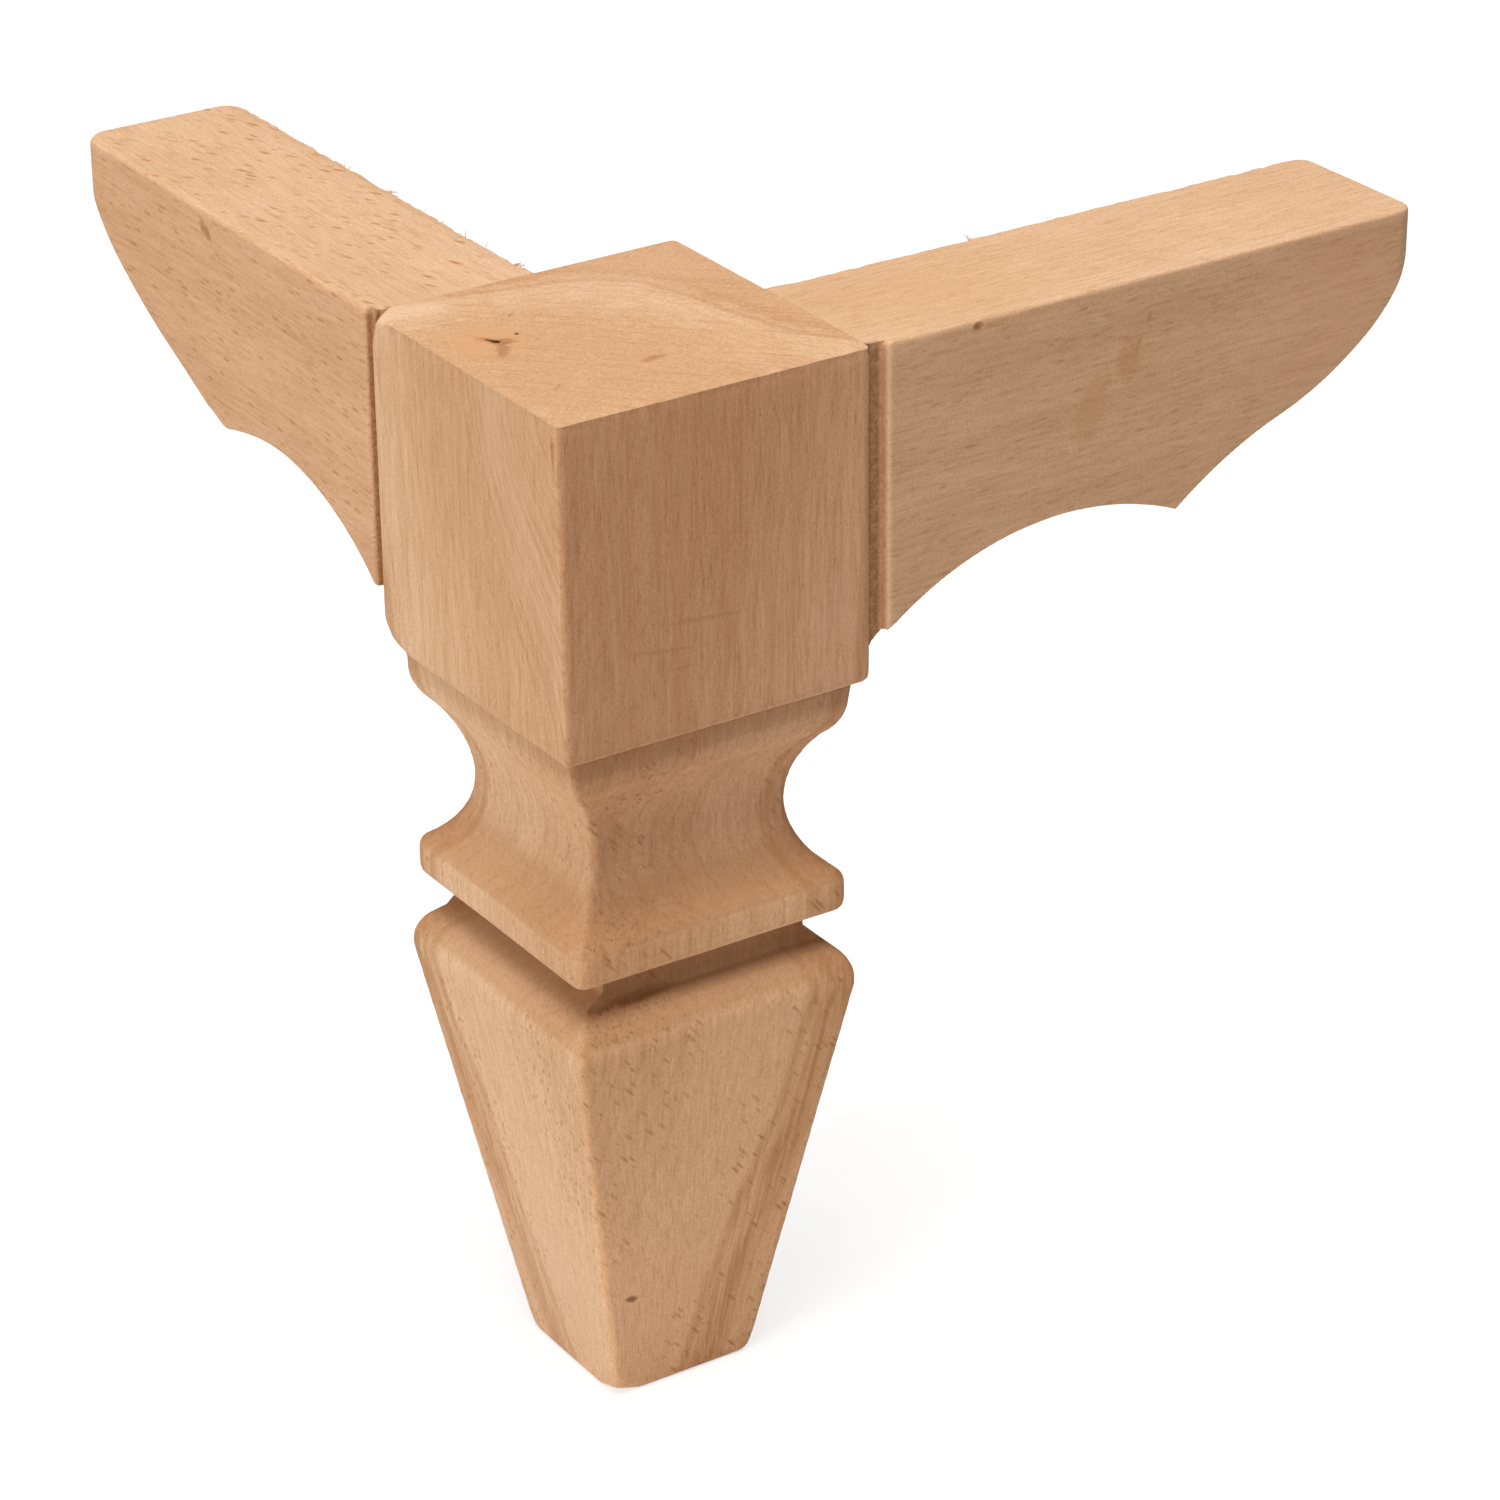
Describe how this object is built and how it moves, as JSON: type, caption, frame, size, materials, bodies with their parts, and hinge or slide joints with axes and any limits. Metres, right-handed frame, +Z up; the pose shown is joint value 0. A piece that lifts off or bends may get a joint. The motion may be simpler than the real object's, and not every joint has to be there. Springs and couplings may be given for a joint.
{
  "type": "furniture leg",
  "caption": "Square moulded wooden corner leg with a tapered foot and scrolled brackets at a right angle, fixed under the corner of a cabinet, bed or sofa.",
  "frame": {"origin": "on the post's axis at the underside of the foot", "axes": "+Z up along the post, +X along the right bracket, +Y along the left bracket"},
  "size_m": [0.1429, 0.1364, 0.16],
  "materials": {
    "post_beech": "raw, sanded",
    "bracket_beech": "raw, sanded",
    "dowel_beech": "plain"
  },
  "bodies": {
    "root": {"corner_post": "post_beech", "right_bracket": "bracket_beech", "left_bracket": "bracket_beech", "joint_dowels": "dowel_beech"}
  },
  "joints": []
}
